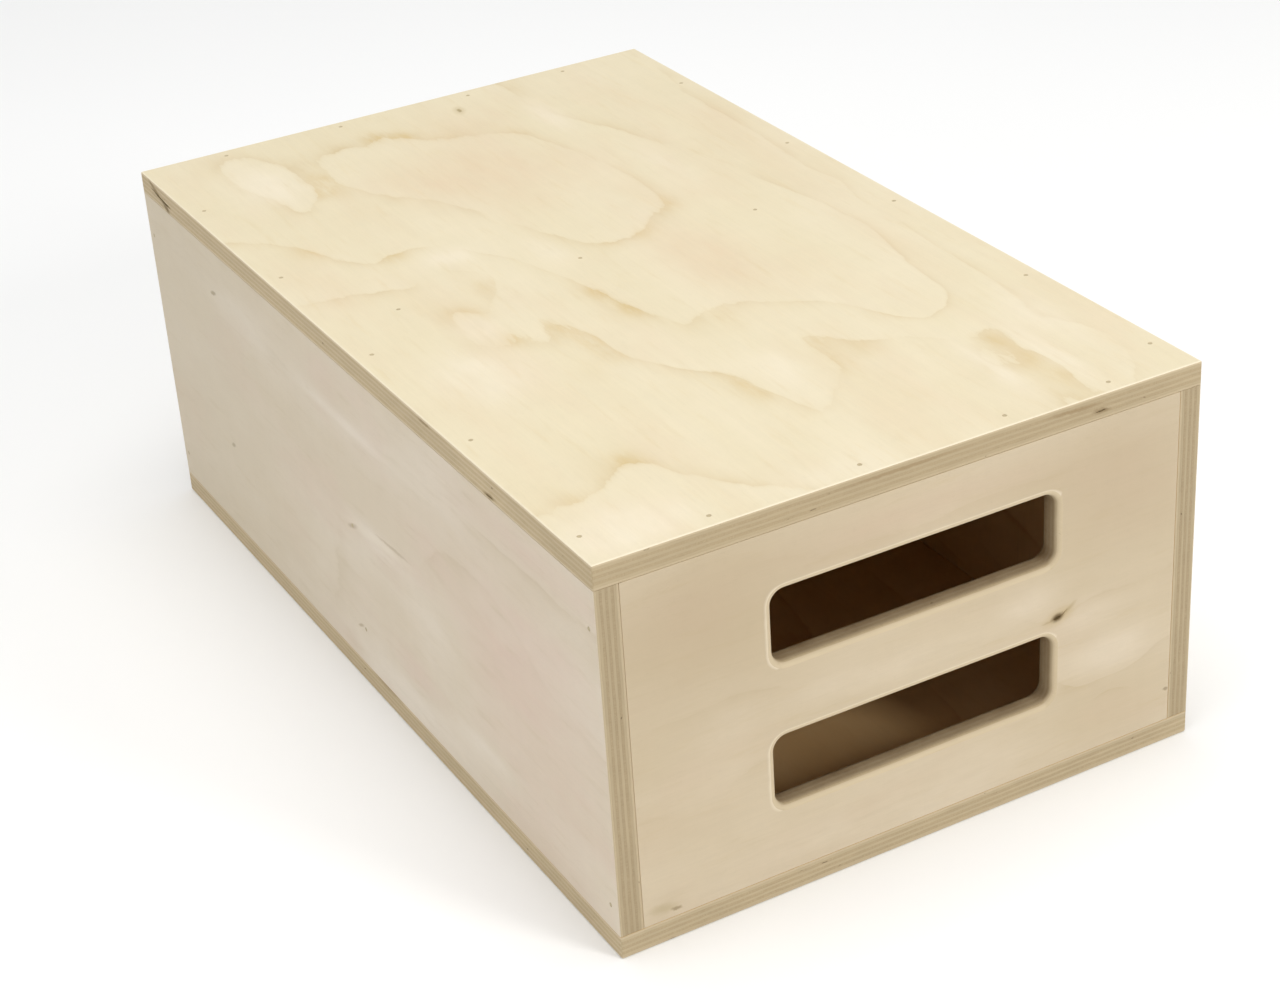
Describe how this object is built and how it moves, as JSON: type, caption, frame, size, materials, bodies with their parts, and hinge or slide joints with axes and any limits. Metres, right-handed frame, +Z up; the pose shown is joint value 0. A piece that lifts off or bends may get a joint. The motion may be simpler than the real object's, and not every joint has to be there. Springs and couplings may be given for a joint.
{
  "type": "apple box",
  "caption": "Closed full-size apple box in birch plywood, glued and brad-nailed, with an inner rib and two stacked hand slots in each end.",
  "frame": {"origin": "centre of the rectangular underside, at floor level", "axes": "+X along the length towards the front end panel, +Y across the width towards the right side panel, +Z up"},
  "size_m": [0.508, 0.305, 0.195],
  "materials": {
    "ply_top": "bare sanded birch plywood, rotary-cut face, warm cream",
    "ply_bottom": "bare sanded birch plywood, slightly scuffed",
    "ply_side_left": "bare sanded birch plywood, greyish beige with pale streaks",
    "ply_side_right": "bare sanded birch plywood",
    "ply_end": "bare sanded birch plywood, routed hand slots",
    "ply_rib": "bare unsanded birch plywood",
    "nail": "galvanised brad, dulled"
  },
  "bodies": {
    "root": {"top_panel": "ply_top", "bottom_panel": "ply_bottom", "left_side_panel": "ply_side_left", "right_side_panel": "ply_side_right", "front_end_panel": "ply_end", "rear_end_panel": "ply_end", "centre_rib": "ply_rib", "nail_bottom_front_1": "nail", "nail_bottom_front_2": "nail", "nail_bottom_front_3": "nail", "nail_bottom_left_1": "nail", "nail_bottom_left_2": "nail", "nail_bottom_left_3": "nail", "nail_bottom_left_4": "nail", "nail_bottom_rear_1": "nail", "nail_bottom_rear_2": "nail", "nail_bottom_rear_3": "nail", "nail_bottom_rib_1": "nail", "nail_bottom_rib_2": "nail", "nail_bottom_right_1": "nail", "nail_bottom_right_2": "nail", "nail_bottom_right_3": "nail", "nail_bottom_right_4": "nail", "nail_left_front_1": "nail", "nail_left_front_2": "nail", "nail_left_rear_1": "nail", "nail_left_rear_2": "nail", "nail_left_rib_1": "nail", "nail_left_rib_2": "nail", "nail_right_front_1": "nail", "nail_right_front_2": "nail", "nail_right_rear_1": "nail", "nail_right_rear_2": "nail", "nail_right_rib_1": "nail", "nail_right_rib_2": "nail", "nail_top_front_1": "nail", "nail_top_front_2": "nail", "nail_top_front_3": "nail", "nail_top_front_4": "nail", "nail_top_left_1": "nail", "nail_top_left_2": "nail", "nail_top_left_3": "nail", "nail_top_left_4": "nail", "nail_top_left_5": "nail", "nail_top_rear_1": "nail", "nail_top_rear_2": "nail", "nail_top_rear_3": "nail", "nail_top_rear_4": "nail", "nail_top_rib_1": "nail", "nail_top_rib_2": "nail", "nail_top_rib_3": "nail", "nail_top_right_1": "nail", "nail_top_right_2": "nail", "nail_top_right_3": "nail", "nail_top_right_4": "nail", "nail_top_right_5": "nail"}
  },
  "joints": []
}
